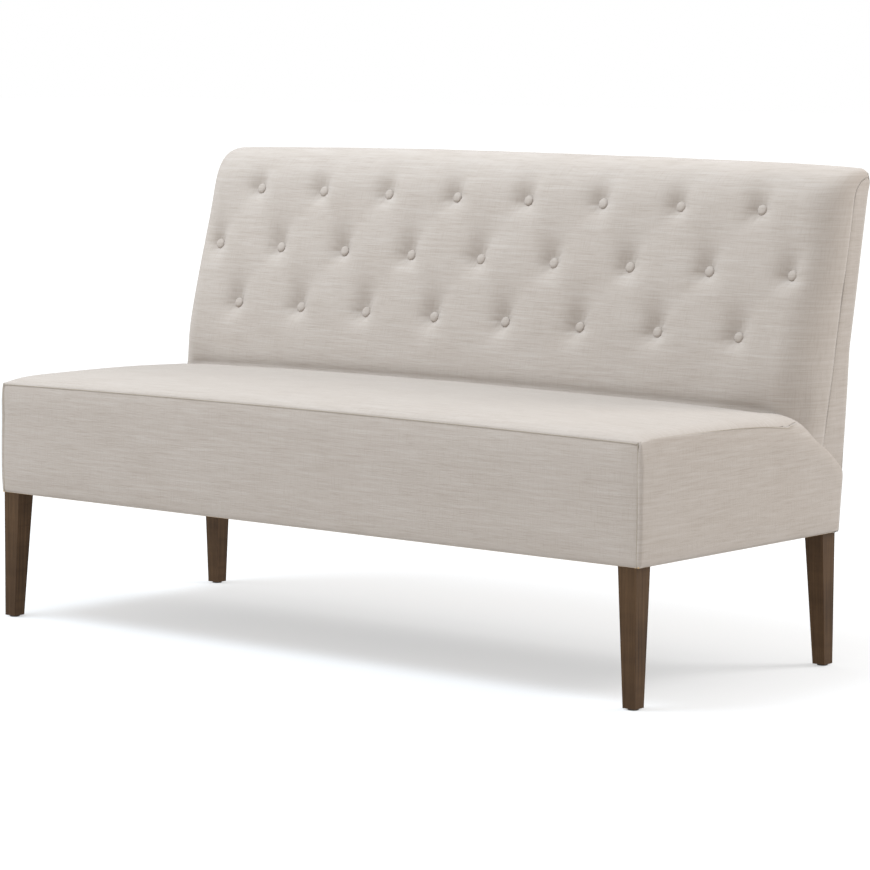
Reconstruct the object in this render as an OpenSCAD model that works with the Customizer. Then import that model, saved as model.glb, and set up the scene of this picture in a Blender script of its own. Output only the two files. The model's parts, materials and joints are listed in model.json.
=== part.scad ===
// Upholstered banquette bench: armless, with a button-tufted leaning back, on four tapered legs.
// Lengths are millimetres. The floor is z = 0, the front faces -Y, and x = 0 is the middle.

/* [Overall] */
// Width of the bench, end to end
bench_w = 1600; // [1200:10:1900]
// Depth of the seat box, front to rear
seat_d = 638; // [560:2:720]
// Height of the legs, which is where the covers end
leg_h = 255; // [180:5:320]
// Height of the seat box, from the legs to the seam of the seat top
seat_box_h = 221; // [200:1:280]
// Height of the back above the seat seam, at its ends
back_h = 456; // [400:4:560]

/* [Back] */
// Depth of the back at the seat seam, in the middle
back_d = 201; // [185:1:230]
// Lean of the back's front face
face_lean = 16.8; // [14:0.2:18]
// Lean of the back's rear face below its bend
rear_lean_low = 4.4; // [3:0.2:6]
// Lean of the back's rear face above its bend
rear_lean_high = 10.4; // [9:0.2:12]
// Height of the rear face's bend above the legs
bend_h = 345; // [300:5:380]
// Depth of the back's end panel at the seat seam
side_panel_d = 64; // [58:1:70]
// Lean of the front edge of the end panel
side_lean = 11.3; // [10:0.1:12]
// How far the middle of the back's face stands ahead of its last buttons
face_crown = 24; // [10:1:30]
// How much higher the back is in its middle than at its ends
back_bow = 15; // [4:1:20]
// Height of the roll at the top of the back
top_roll_h = 66; // [55:1:68]

/* [Tufting] */
// Number of buttons in the long row
button_count = 9; // [5:1:9]
// From the last button of the long row to the end of the bench
button_end_gap = 73; // [68:1:90]
// Height of the lowest button row above the seat seam
first_row_h = 141; // [136:1:150]
// From the top of the back's ends down to the highest button row
last_row_drop = 77.6; // [72:0.2:84]
// Depth of a tuft
tuft_depth = 25; // [20:1:30]
// Reach of a tuft around its button
tuft_reach = 27; // [24:1:30]
// Depth of the folds between buttons
fold_depth = 5; // [2:0.5:7]
// Diameter of a button
button_dia = 21; // [18:0.5:22]
// Height of a button's dome
button_h = 5; // [4:0.5:6]

/* [Seat] */
// Height that the seat top gains close to its seams
seat_rim_h = 15; // [10:1:18]
// Further rise to the middle of the seat
seat_dome_h = 8.5; // [4:0.5:10]
// Rise of the front seam at the middle
front_seam_bow = 6; // [2:0.5:8]
// Fall of the end seams towards the rear corners
end_seam_fall = 98; // [70:1:104]

/* [Legs] */
// Width of a leg at its top
leg_top_w = 41; // [36:1:50]
// Width of a leg at its foot
leg_foot_w = 27; // [22:1:34]
// From the end of the bench to a leg
leg_end_inset = 7; // [3:0.5:10]
// From the front or rear face of the bench to a leg
leg_face_inset = 2; // [1:0.5:4]

/* [Frame] */
// Thickness of the seat rails
rail_t = 28; // [22:1:32]
// Height of the seat rails
rail_h = 120; // [100:1:130]
// Width of the corner and back posts
post_w = 41; // [38:1:48]
// Width of the two inner posts of the back
inner_post_w = 32; // [26:1:40]
// Height of the back's lower rail
lower_rail_h = 45; // [35:1:50]
// Diameter of the dowels
dowel_dia = 10; // [8:1:12]
// Length of the dowels
dowel_l = 50; // [40:1:60]
// Thickness of the tufting board
board_t = 9; // [6:0.5:12]

/* [Covers] */
// Thickness of the cover cloth
cover_t = 2; // [1.2:0.1:2.4]
// Clearance between soft pieces and their neighbours
soft_gap = 0.3; // [0.2:0.05:0.5]
// Clearance round bolts, pins and dowels
fit_gap = 0.1; // [0.05:0.01:0.15]

/* [Springs] */
// Number of seat springs
spring_count = 8; // [5:1:9]
// Thickness of the spring wire
spring_t = 3.2; // [2.8:0.1:4]
// Width of a spring's waves
spring_wave_w = 44; // [34:1:54]
// Waves in each spring
spring_waves = 8; // [6:1:10]

/* [Hidden] */
$fn = 48;

// Colours
linen = "#cfc5bb";
walnut = "#4b3a2d";
timber = "#c9a877";
plywood = "#d6b98a";
foam = "#e9dfa8";
fibre = "#f2f1ec";
steel = "#9a9fa3";
black_cloth = "#2b2b2b";

// Overruns and small shared values
cut_over = 1;
half_w = bench_w / 2;
seam_z = leg_h + seat_box_h;
top_end_z = seam_z + back_h;
bend_z = leg_h + bend_h;
skin = cover_t + soft_gap;
shell_in_x = half_w - skin;

// The rear face of the back: two straight stretches that meet at the bend
function rear_y(z) = seat_d + (min(z, bend_z) - leg_h) * tan(rear_lean_low)
    + max(z - bend_z, 0) * tan(rear_lean_high);
// The front edge of the back's end panels, which is also the plane that the pads lie on
function side_y(z) = rear_y(seam_z) - side_panel_d + (z - seam_z) * tan(side_lean);
// The top edge of the back bows up to the middle
function top_z(x) = top_end_z + back_bow * (1 - pow(x / half_w, 2));
overall_d = rear_y(top_z(0));

// Stands the bench over the middle of its own depth
module placed() {
    translate([0, -overall_d / 2, 0]) children();
}

// A polygon of [y, z] points, drawn out along x from x0 to x1
module side_profile(points, x0, x1) {
    translate([x0, 0, 0]) rotate([90, 0, 90]) linear_extrude(height = x1 - x0) polygon(points);
}

// A polygon of [x, z] points, drawn out along y from y0 to y1
module front_profile(points, y0, y1) {
    translate([0, y1, 0]) rotate([90, 0, 0]) linear_extrude(height = y1 - y0) polygon(points);
}

// A block between two corners
module block(low, high) {
    translate(low) cube(high - low);
}

// A rod from one point along x, y or z
module rod_x(p, l, r) {
    translate(p) rotate([0, 90, 0]) cylinder(h = l, r = r);
}
module rod_y(p, l, r) {
    translate(p) rotate([-90, 0, 0]) cylinder(h = l, r = r);
}
module rod_z(p, l, r) {
    translate(p) cylinder(h = l, r = r);
}

// The faces of a grid of points, with cols points in a row; parity turns the diagonals
function cell_faces(a, b, c, d, turned) = turned ? [[a, b, c], [a, c, d]] : [[a, b, d], [b, c, d]];
function grid_faces(cols, rows, start, flip, turns) = [
    for (j = [0 : rows - 2], i = [0 : cols - 2])
        let (a = start + j * cols + i, b = a + 1, d = a + cols, c = d + 1)
        for (f = cell_faces(a, b, c, d, turns ? (i + j) % 2 == 1 : i < cols / 2))
            flip ? [f[2], f[1], f[0]] : f];
// The points round the edge of such a grid, one after another
function edge_loop(cols, rows) = concat(
    [for (i = [0 : cols - 2]) i],
    [for (j = [0 : rows - 2]) j * cols + cols - 1],
    [for (i = [cols - 1 : -1 : 1]) (rows - 1) * cols + i],
    [for (j = [rows - 1 : -1 : 1]) j * cols]);
// The strip that joins the edges of an outer grid and an inner one
function rim_faces(cols, rows) =
    let (loop = edge_loop(cols, rows), n = len(loop), shift = cols * rows)
    [for (k = [0 : n - 1])
        let (a = loop[k], b = loop[(k + 1) % n])
        for (f = [[a, b, a + shift], [b, b + shift, a + shift]]) f];

// A thin closed shell between two grids of the same layout, the outer one facing out
module cloth_shell(outer, inner, cols, rows, turns) {
    polyhedron(points = concat(outer, inner), faces = concat(
        grid_faces(cols, rows, 0, true, turns),
        grid_faces(cols, rows, cols * rows, false, turns),
        rim_faces(cols, rows)));
}

// Legs, and how they are fixed
glide_t = 3;
glide_r = 10;
glide_pin_r = 1.6;
glide_pin_l = 14;
bolt_r = 4;
bolt_in_leg = 45;
bolt_in_nut = 34;
nut_r = 7;
nut_l = 26;
nut_flange_r = 12;
nut_flange_t = 2;
leg_x = half_w - leg_end_inset - leg_top_w / 2;
leg_front_y = leg_face_inset + leg_top_w / 2;
leg_back_y = seat_d - leg_face_inset - leg_top_w / 2;
frame_z = leg_h;
leg_places = [for (s = [-1, 1], y = [leg_front_y, leg_back_y]) [s * leg_x, y]];
// The foot stays flush with the outer faces, so its middle is off the top's middle
foot_shift = (leg_top_w - leg_foot_w) / 2;

// The side view of a leg whose outer face is upright, and stands towards +1 or -1
function leg_outline(out) = [
    [-leg_top_w / 2, frame_z], [leg_top_w / 2, frame_z],
    [out * foot_shift + leg_foot_w / 2, glide_t], [out * foot_shift - leg_foot_w / 2, glide_t]];

module leg(side, y, out_y) {
    color(walnut) placed() translate([side * leg_x, y, 0]) difference() {
        intersection() {
            front_profile(leg_outline(side), -leg_top_w, leg_top_w);
            side_profile(leg_outline(out_y), -leg_top_w, leg_top_w);
        }
        rod_z([0, 0, frame_z - bolt_in_leg - fit_gap], bolt_in_leg + cut_over, bolt_r + fit_gap);
        rod_z([side * foot_shift, out_y * foot_shift, glide_t - cut_over],
            glide_pin_l + fit_gap + cut_over, glide_pin_r + fit_gap);
    }
}
module leg_front_left() leg(-1, leg_front_y, -1);
module leg_front_right() leg(1, leg_front_y, -1);
module leg_back_left() leg(-1, leg_back_y, 1);
module leg_back_right() leg(1, leg_back_y, 1);

module leg_glides() {
    color(steel) placed() for (p = leg_places)
        let (out_y = p.y < seat_d / 2 ? -1 : 1)
        translate([p.x + sign(p.x) * foot_shift, p.y + out_y * foot_shift, 0]) {
            cylinder(h = glide_t, r = glide_r);
            rod_z([0, 0, 0], glide_t + glide_pin_l, glide_pin_r);
        }
}

module leg_hanger_bolts() {
    color(steel) placed() for (p = leg_places)
        rod_z([p.x, p.y, frame_z - bolt_in_leg], bolt_in_leg + bolt_in_nut, bolt_r);
}

module leg_insert_nuts() {
    color(steel) placed() for (p = leg_places) translate([p.x, p.y, frame_z]) difference() {
        union() {
            cylinder(h = nut_flange_t, r = nut_flange_r);
            cylinder(h = nut_l, r = nut_r);
        }
        rod_z([0, 0, -cut_over], nut_l + cut_over * 2, bolt_r + fit_gap);
    }
}

// What every post over a leg is drilled for
module insert_nut_cuts() {
    for (p = leg_places) translate([p.x, p.y, frame_z - cut_over]) {
        cylinder(h = nut_flange_t + fit_gap + cut_over, r = nut_flange_r + fit_gap);
        cylinder(h = max(nut_l, bolt_in_nut) + fit_gap + cut_over, r = nut_r + fit_gap);
    }
}

// Seat frame
rail_top = frame_z + rail_h;
post_in_x = shell_in_x - post_w;
rail_in_x = shell_in_x - rail_t;
back_in_y = seat_d - skin - rail_t;
cross_w = 26;
cross_h = 60;
cross_x = bench_w / 6;
// Heights on the rails, staggered so that the dowels of the two rails pass each other in a post
long_dowel_shares = [0.42, 0.72];
end_dowel_shares = [0.57, 0.87];
dowel_r = dowel_dia / 2;
post_front_gap = board_t + soft_gap * 2;
// Where the back posts' front faces stand below the seat seam
post_foot_y = side_y(seam_z) + post_front_gap;

// Dowels along x at the ends of the front and back rails, along y at the ends of the end rails
rail_dowels_x = [
    for (s = [-1, 1], y = [skin + rail_t / 2, back_in_y + rail_t / 2], k = long_dowel_shares)
        [s * post_in_x, y, frame_z + rail_h * k]];
rail_dowels_y = [
    for (s = [-1, 1], y = [skin + post_w, post_foot_y], k = end_dowel_shares)
        [s * (shell_in_x - rail_t / 2), y, frame_z + rail_h * k]];
cross_dowels = [
    for (s = [-1, 1], y = [skin + rail_t, back_in_y]) [s * cross_x, y, frame_z + cross_h / 2]];

// All the seat frame's dowels, grown by a clearance where they are cuts
module seat_dowels(gap) {
    for (p = rail_dowels_x)
        rod_x([p.x - dowel_l / 2 - gap, p.y, p.z], dowel_l + gap * 2, dowel_r + gap);
    for (p = concat(rail_dowels_y, cross_dowels))
        rod_y([p.x, p.y - dowel_l / 2 - gap, p.z], dowel_l + gap * 2, dowel_r + gap);
}
module frame_dowels() { color(timber) placed() seat_dowels(0); }

// Corner blocks fit the step between a post and its two rails, and are screwed to the rails
block_reach = 56;
block_h = 60;
block_z = frame_z + (rail_h - block_h) / 2;
screw_r = 2;
screw_head_r = 4;
screw_head_h = 3;
screw_l = 42;
screw_bite = 18;
screw_along = post_w + block_reach / 2;
// Places of the two screws up a block
screw_shares = [1 / 3, 2 / 3];

// Each corner as [outer corner, direction inwards along x, direction inwards along y, post depth]
back_post_depth = seat_d - skin - post_foot_y;
corners = [for (s = [-1, 1]) each [
    [[s * shell_in_x, skin], -s, 1, post_w],
    [[s * shell_in_x, seat_d - skin], -s, -1, back_post_depth]]];

module at_corner(c) {
    translate([c[0].x, c[0].y, 0])
        mirror([c[1] < 0 ? 1 : 0, 0, 0])
            mirror([0, c[2] < 0 ? 1 : 0, 0]) children();
}
// Screws through a block: one into the front or back rail, one into the end rail
module block_screws_at(depth, gap) {
    reach_y = depth + block_reach / 2;
    tip = rail_t - screw_bite - gap;
    head = rail_t - screw_bite + screw_l - screw_head_h - gap;
    head_l = screw_head_h + gap + (gap > 0 ? block_reach : 0);
    low_z = block_z + block_h * screw_shares[0];
    high_z = block_z + block_h * screw_shares[1];
    rod_y([screw_along, tip, low_z], screw_l + gap, screw_r + gap);
    rod_y([screw_along, head, low_z], head_l, screw_head_r + gap);
    rod_x([tip, reach_y, high_z], screw_l + gap, screw_r + gap);
    rod_x([head, reach_y, high_z], head_l, screw_head_r + gap);
}
module screw_cuts() {
    for (c = corners) at_corner(c) block_screws_at(c[3], fit_gap);
}
module corner_block_screws() {
    color(steel) placed() for (c = corners) at_corner(c) block_screws_at(c[3], 0);
}
module corner_blocks() {
    color(timber) placed() for (c = corners) difference() {
        at_corner(c) translate([0, 0, block_z]) linear_extrude(height = block_h) polygon([
            [post_w, rail_t], [post_w + block_reach, rail_t],
            [rail_t, c[3] + block_reach], [rail_t, c[3]], [post_w, c[3]]]);
        at_corner(c) block_screws_at(c[3], fit_gap);
    }
}

module corner_post(side) {
    inner = side * post_in_x;
    outer = side * shell_in_x;
    color(timber) placed() difference() {
        block([min(inner, outer), skin, frame_z], [max(inner, outer), skin + post_w, rail_top]);
        seat_dowels(fit_gap);
        insert_nut_cuts();
    }
}
module corner_post_left() corner_post(-1);
module corner_post_right() corner_post(1);

module front_rail() {
    color(timber) placed() difference() {
        block([-post_in_x, skin, frame_z], [post_in_x, skin + rail_t, rail_top]);
        seat_dowels(fit_gap);
        screw_cuts();
    }
}
module back_rail() {
    color(timber) placed() difference() {
        block([-post_in_x, back_in_y, frame_z], [post_in_x, seat_d - skin, rail_top]);
        seat_dowels(fit_gap);
        screw_cuts();
    }
}
module end_rail(side) {
    inner = side * rail_in_x;
    outer = side * shell_in_x;
    color(timber) placed() difference() {
        block([min(inner, outer), skin + post_w, frame_z], [max(inner, outer), post_foot_y, rail_top]);
        seat_dowels(fit_gap);
        screw_cuts();
    }
}
module end_rail_left() end_rail(-1);
module end_rail_right() end_rail(1);

module seat_cross_rails() {
    color(timber) placed() for (s = [-1, 1]) difference() {
        block([s * cross_x - cross_w / 2, skin + rail_t, frame_z],
            [s * cross_x + cross_w / 2, back_in_y, frame_z + cross_h]);
        seat_dowels(fit_gap);
    }
}

// Springs lie in clips on the front and back rails, with tie wires below and a deck cloth above
clip_t = 1.2;
clip_w = 18;
clip_l = 16;
clip_z = rail_top;
spring_z = clip_z + clip_t + fit_gap;
spring_top = spring_z + spring_t;
clip_top = spring_top + fit_gap + clip_t;
tie_r = 1.2;
tie_shares = [0.3, 0.7];
deck_t = 1;
deck_z = clip_top + soft_gap;
deck_top = deck_z + deck_t;
spring_pitch = bench_w / (spring_count + 0.5);
spring_x = [for (i = [0 : spring_count - 1]) (i - (spring_count - 1) / 2) * spring_pitch];
clip_front_y = skin + rail_t / 2;
clip_back_y = back_in_y + rail_t / 2;
spring_y0 = clip_front_y - clip_l / 2 + clip_t + fit_gap;
spring_y1 = clip_back_y + clip_l / 2 - clip_t - fit_gap;
spring_l = spring_y1 - spring_y0;
steps_per_wave = 6;

// The middle line of a spring, and its two sides at right angles to that line
function wave_x(t) = spring_wave_w / 2 * sin(360 * spring_waves * t);
function wave_slope(t) = spring_wave_w * PI * spring_waves / spring_l * cos(360 * spring_waves * t);
function wave_side(t, side) =
    let (m = wave_slope(t), k = side * spring_t / 2 / sqrt(1 + m * m))
    [wave_x(t) + k, spring_y0 + spring_l * t - k * m];
module seat_spring() {
    n = spring_waves * steps_per_wave;
    // The sides start and end square to the rails, so the ends stay inside the clips
    ts = [for (i = [0 : n]) i / n];
    inner_ts = [for (i = [1 : n - 1]) i / n];
    translate([0, 0, spring_z]) linear_extrude(height = spring_t) polygon(concat(
        [[spring_t, spring_y0]], [for (t = inner_ts) wave_side(t, 1)], [[spring_t, spring_y1]],
        [[-spring_t, spring_y1]],
        [for (i = [len(inner_ts) - 1 : -1 : 0]) wave_side(inner_ts[i], -1)], [[-spring_t, spring_y0]]));
}
module seat_springs() {
    color(steel) placed() for (x = spring_x) translate([x, 0, 0]) seat_spring();
}

// A clip is a flat plate bent over the wire, with its bend on the outer side of the rail
module spring_clip(dir) {
    back = -dir * clip_l / 2;
    inner_h = spring_t + fit_gap * 2;
    side_profile([[back, 0], [-back, 0], [-back, clip_t], [back + dir * clip_t, clip_t],
        [back + dir * clip_t, clip_t + inner_h], [-back, clip_t + inner_h],
        [-back, clip_t * 2 + inner_h], [back, clip_t * 2 + inner_h]], -clip_w / 2, clip_w / 2);
}
module spring_clips() {
    color(steel) placed() for (x = spring_x) {
        translate([x, clip_front_y, clip_z]) spring_clip(1);
        translate([x, clip_back_y, clip_z]) spring_clip(-1);
    }
}
module spring_tie_wires() {
    color(steel) placed() for (k = tie_shares)
        rod_x([-rail_in_x, seat_d * k, spring_z - tie_r - fit_gap], rail_in_x * 2, tie_r);
}

// The two edges of the deck cloth turn down on to the rails, outside the clips
deck_edge_t = 2;
module deck_cloth() {
    half = post_in_x - soft_gap;
    front = skin + soft_gap;
    back = seat_d - skin - soft_gap;
    color(black_cloth) placed() {
        block([-half, front, deck_z], [half, back, deck_top]);
        block([-half, front, rail_top], [half, front + deck_edge_t, deck_z]);
        block([-half, back - deck_edge_t, rail_top], [half, back, deck_z]);
    }
}

// Seat top: the height of its surface over any point
seat_rim_reach = 12;
seat_front_reach = 22;
level_seam_l = 150;
fall_power = 4.4;
fall_reach = 55;
dome_y = 280;
function end_fall(y) = end_seam_fall * pow(max(y - level_seam_l, 0) / (seat_d - level_seam_l), fall_power);
function bow(x) = 1 - pow(x / half_w, 2);
function seat_z(x, y) =
    let (dx = half_w - abs(x))
    seam_z + front_seam_bow * bow(x) - end_fall(y) * exp(-dx / fall_reach)
    + seat_rim_h * (1 - exp(-dx / seat_rim_reach)) * (1 - exp(-y / seat_front_reach))
    + seat_dome_h * bow(x) * max(1 - pow((y - dome_y) / dome_y, 2), 0);

// Front face of the back before it is tufted
button_pitch = (bench_w - button_end_gap * 2) / (button_count - 1);
last_button_x = half_w - button_end_gap;
function plain_face_y(x, z) = rear_y(seam_z) - back_d + (z - seam_z) * tan(face_lean)
    + face_crown * pow(min(abs(x), last_button_x) / last_button_x, 2);
// The face rolls back to the end panel past the last buttons: turn is 0 there and 90 at the end
function end_turn(x) = asin(min(max(abs(x) - last_button_x, 0) / button_end_gap, 1));
function rolled_face_y(x, z) =
    let (y = plain_face_y(x, z))
    y + (side_y(z) - y) * (1 - cos(end_turn(x)));

// Where the seat top meets the back: its rear edge, which runs on to the rear at the ends
seat_edge_gap = 2.5;
function seat_rear_y(x) =
    abs(x) > half_w - cover_t / 2 ? seat_d - skin
    : min(rolled_face_y(x, seat_z(x, plain_face_y(x, seam_z))) - seat_edge_gap, seat_d - skin);
seat_end_shares = [0, 0.03, 0.11, 0.25, 0.47, 0.77];
seat_mid_share = 0.98;
seat_mid_columns = 14;
seat_cols_x = concat(
    [for (k = seat_end_shares) k * button_end_gap - half_w],
    [for (i = [0 : seat_mid_columns]) (i / seat_mid_columns * 2 - 1) * last_button_x * seat_mid_share],
    [for (i = [len(seat_end_shares) - 1 : -1 : 0]) half_w - seat_end_shares[i] * button_end_gap]);
seat_row_shares = [0, 0.012, 0.035, 0.07, 0.12, 0.22, 0.38, 0.55, 0.7, 0.82, 0.92, 1];
seat_outer = [for (k = seat_row_shares, x = seat_cols_x) let (y = k * seat_rear_y(x)) [x, y, seat_z(x, y)]];
seat_inner = [for (p = seat_outer) p - [0, 0, cover_t]];

module seat_top_cover() {
    color(linen) placed()
        cloth_shell(seat_outer, seat_inner, len(seat_cols_x), len(seat_row_shares), false);
}

// The foam is a plain block; the fibre over it is crowned under the top cover
seat_fibre_edge = 22;
foam_top = seam_z - seat_fibre_edge;
pad_foot_z = deck_top + soft_gap;
pad_foot_y = plain_face_y(0, pad_foot_z);
foam_rear_y = pad_foot_y - soft_gap * 2;
module seat_foam() {
    color(foam) placed() block([-shell_in_x + soft_gap, skin + soft_gap, deck_top],
        [shell_in_x - soft_gap, foam_rear_y, foam_top]);
}

fibre_gap = 1.2;
fibre_row_shares = [0, 0.03, 0.09, 0.18, 0.35, 0.6, 0.8, 1];
fibre_half_shares = [0.25, 0.5, 0.7, 0.85, 0.92, 0.96, 0.985, 1];
fibre_col_shares = concat(
    [for (i = [len(fibre_half_shares) - 1 : -1 : 0]) -fibre_half_shares[i]],
    [0],
    fibre_half_shares);
fibre_half_w = shell_in_x - fibre_gap;
fibre_y0 = skin + fibre_gap;
fibre_rear_y = foam_rear_y;
fibre_top = [for (k = fibre_row_shares, u = fibre_col_shares)
    let (x = u * fibre_half_w, y = fibre_y0 + k * (fibre_rear_y - fibre_y0))
    [x, y, seat_z(x, y) - cover_t - fibre_gap]];
// The flat underside is a fan from its middle to the points of the edge
module seat_batting() {
    cols = len(fibre_col_shares);
    rows = len(fibre_row_shares);
    loop = edge_loop(cols, rows);
    base = cols * rows;
    n = len(loop);
    foot_z = foam_top + soft_gap;
    foot = [for (k = loop) [fibre_top[k].x, fibre_top[k].y, foot_z]];
    middle = [0, (fibre_y0 + fibre_rear_y) / 2, foot_z];
    color(fibre) placed() polyhedron(points = concat(fibre_top, foot, [middle]), faces = concat(
        grid_faces(cols, rows, 0, true, false),
        [for (k = [0 : n - 1]) each let (m = (k + 1) % n)
            [[loop[k], loop[m], base + k], [loop[m], base + m, base + k], [base + n, base + k, base + m]]]));
}

// Cover bands round the seat box; their top edges follow the seam under the top cover
band_steps = 16;
band_drop = cover_t + soft_gap;
end_band_drop = band_drop + soft_gap;
module seat_front_band() {
    color(linen) placed() front_profile(concat(
        [[half_w, leg_h], [-half_w, leg_h]],
        [for (x = seat_cols_x) [x, seat_z(x, 0) - band_drop]]), 0, cover_t);
}
module seat_end_band(side) {
    outer = side * half_w;
    inner = side * (half_w - cover_t);
    y0 = cover_t + soft_gap;
    color(linen) placed() side_profile(concat([[seat_d - skin, leg_h], [y0, leg_h]],
        [for (k = seat_row_shares) let (y = max(k * (seat_d - skin), y0))
            [y, seat_z(half_w, y) - end_band_drop]]), min(inner, outer), max(inner, outer));
}
module seat_end_band_left() seat_end_band(-1);
module seat_end_band_right() seat_end_band(1);

dust_t = 1;
dust_inset = 8;
dust_notch = leg_top_w + leg_end_inset + dust_inset;
module dust_cover() {
    color(black_cloth) placed() translate([0, 0, leg_h - dust_t]) difference() {
        block([-half_w + dust_inset, dust_inset, 0], [half_w - dust_inset, seat_d - dust_inset, dust_t]);
        for (s = [-1, 1], y = [0, seat_d])
            block([s * half_w - dust_notch, y - dust_notch, -cut_over],
                [s * half_w + dust_notch, y + dust_notch, dust_t + cut_over]);
    }
}

// Button places, as [x, z], in three staggered rows
row_pitch = (back_h - first_row_h - last_row_drop) / 2;
row_z = [for (r = [0 : 2]) seam_z + first_row_h + r * row_pitch];
buttons = [for (r = [0 : 2]) each
    let (n = r == 1 ? button_count : button_count - 1)
    [for (i = [0 : n - 1]) [(i - (n - 1) / 2) * button_pitch, row_z[r]]]];
function tuft(x, z) = tuft_depth * max([for (b = buttons)
    exp(-(pow(x - b.x, 2) + pow(z - b.y, 2)) / pow(tuft_reach, 2))]);
// Folds run between staggered buttons, on lines where a slanted count is a whole number
fold_half_share = 0.12;
function fold_line(f) = exp(-pow((f - round(f)) / fold_half_share, 2));
function fold(x, z) =
    let (m = (z - row_z[0]) / row_pitch, u = x / button_pitch * 2 + button_count,
        inside = m < 0 || m > 2 ? 0 : 1)
    inside * fold_depth * cos(end_turn(x)) * max(fold_line((u + m) / 2), fold_line((u - m) / 2));

// The face's grid: the same number of columns and rows to a button's pitch, with rolls at the ends and top
roll_turns = [25, 60, 90];
cells = 4;
mid_columns = (button_count - 1) * cells;
face_cols_x = concat(
    [for (i = [2 : -1 : 0]) -(last_button_x + button_end_gap * sin(roll_turns[i]))],
    [for (i = [0 : mid_columns]) (i - mid_columns / 2) * button_pitch / cells],
    [for (t = roll_turns) last_button_x + button_end_gap * sin(t)]);
roll_z = top_end_z - top_roll_h;
tuck_row_drop = 36;
pad_row_z = concat(
    [pad_foot_z, seam_z - tuck_row_drop, row_z[0] - row_pitch / 2, row_z[0] - row_pitch / cells],
    [for (i = [0 : cells * 2]) row_z[0] + i * row_pitch / cells]);
flat_rows = len(pad_row_z);
row_count = flat_rows + len(roll_turns);

// How far ahead of the rear face the cover's top edge ends
top_edge_inset = 3.45;
// A point of the face: turn is the roll over the top, 0 below it and 90 at the rear edge
function face_point(x, z, turn) =
    let (top = top_z(x), height = z + (top - z) * sin(turn),
        y = rolled_face_y(x, height) + tuft(x, height) + fold(x, height))
    [x, y + (rear_y(height) - top_edge_inset - y) * (1 - cos(turn)), height];
face_outer = [for (j = [0 : row_count - 1], x = face_cols_x)
    j < 2 ? tucked(face_point(x, pad_row_z[j], 0))
    : j < flat_rows ? face_point(x, pad_row_z[j], 0)
    : face_point(x, roll_z, roll_turns[j - flat_rows])];
// The lowest rows are tucked inside the seat's end bands
function tucked(p) = [p.x * (shell_in_x - soft_gap) / half_w, p.y, p.z];
// The same grid drawn in by a thickness on the face, the ends and the top, but not at the rear edge
function row_turn(j) = j < flat_rows ? 0 : roll_turns[j - flat_rows];
function drawn_in(points, t) = [for (j = [0 : row_count - 1], i = [0 : len(face_cols_x) - 1])
    let (p = points[j * len(face_cols_x) + i])
    [p.x - sign(p.x) * t * sin(end_turn(p.x)), p.y + t * cos(row_turn(j)), p.z - t * sin(row_turn(j))]];
face_inner = drawn_in(face_outer, cover_t);

module back_front_cover() {
    color(linen) placed() cloth_shell(face_outer, face_inner, len(face_cols_x), row_count, true);
}

// The fibre pad fills the cover from the tufted face to the tufting board
wrap_t = 45;
core_half_w = last_button_x + button_dia / 2;
core_top_z = row_z[2] + button_dia / 2;
core_front_y = plain_face_y(0, seam_z) + wrap_t + face_crown;
function core_y(z) = core_front_y + (z - seam_z) * tan(face_lean);
core_foot_gap = 3;
core_foot_z = pad_foot_z + core_foot_gap;
module core_prism(gap) {
    side_profile([
        [core_y(core_foot_z) - gap, core_foot_z - gap],
        [side_y(core_foot_z) + cover_t + gap * 2, core_foot_z - gap],
        [side_y(core_top_z) + cover_t + gap * 2, core_top_z + gap],
        [core_y(core_top_z) - gap, core_top_z + gap]],
        -core_half_w - gap, core_half_w + gap);
}
twine_r = 1;
twine_hole_r = 2;
module twine_cuts(r) {
    for (b = buttons) rod_y([b.x, 0, b.y], overall_d, r, $fn = 6);
}
module back_batting() {
    cols = len(face_cols_x);
    points = drawn_in(face_outer, cover_t + soft_gap);
    left = [for (j = [0 : row_count - 1]) j * cols];
    right = [for (j = [0 : row_count - 1]) j * cols + cols - 1];
    last = (row_count - 1) * cols;
    color(fibre) placed() difference() {
        polyhedron(points = points, faces = concat(
            grid_faces(cols, row_count, 0, true, true),
            [for (j = [0 : row_count - 2]) each
                [[left[j], left[j + 1], right[j]], [left[j + 1], right[j + 1], right[j]]]],
            [for (i = [1 : cols - 2]) [0, i, i + 1]],
            [for (i = [1 : cols - 2]) [last, last + i + 1, last + i]]));
        core_prism(soft_gap);
        twine_cuts(twine_hole_r);
    }
}
module back_foam() {
    color(foam) placed() difference() {
        side_profile([
            [core_y(core_foot_z), core_foot_z], [side_y(core_foot_z) + cover_t, core_foot_z],
            [side_y(core_top_z) + cover_t, core_top_z], [core_y(core_top_z), core_top_z]],
            -core_half_w, core_half_w);
        twine_cuts(twine_hole_r);
    }
}

// The tufting board lies behind the pad, on the front faces of the posts
board_front_gap = cover_t + soft_gap * 2;
board_foot_z = pad_foot_z + soft_gap;
board_top_over = 2.5;
board_top_z = row_z[2] + board_top_over;
module tufting_board() {
    color(plywood) placed() difference() {
        side_profile([
            for (p = [[0, board_foot_z], [board_t, board_foot_z], [board_t, board_top_z], [0, board_top_z]])
                [side_y(p.y) + board_front_gap + p.x, p.y]],
            -shell_in_x + board_front_gap, shell_in_x - board_front_gap);
        for (b = buttons) rod_y([b.x, 0, b.y], overall_d, twine_hole_r);
    }
}
function frame_front_y(z) = side_y(z) + board_front_gap + board_t;
liner_t = 1;
function frame_rear_y(z) = rear_y(z) - skin - liner_t;

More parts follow.
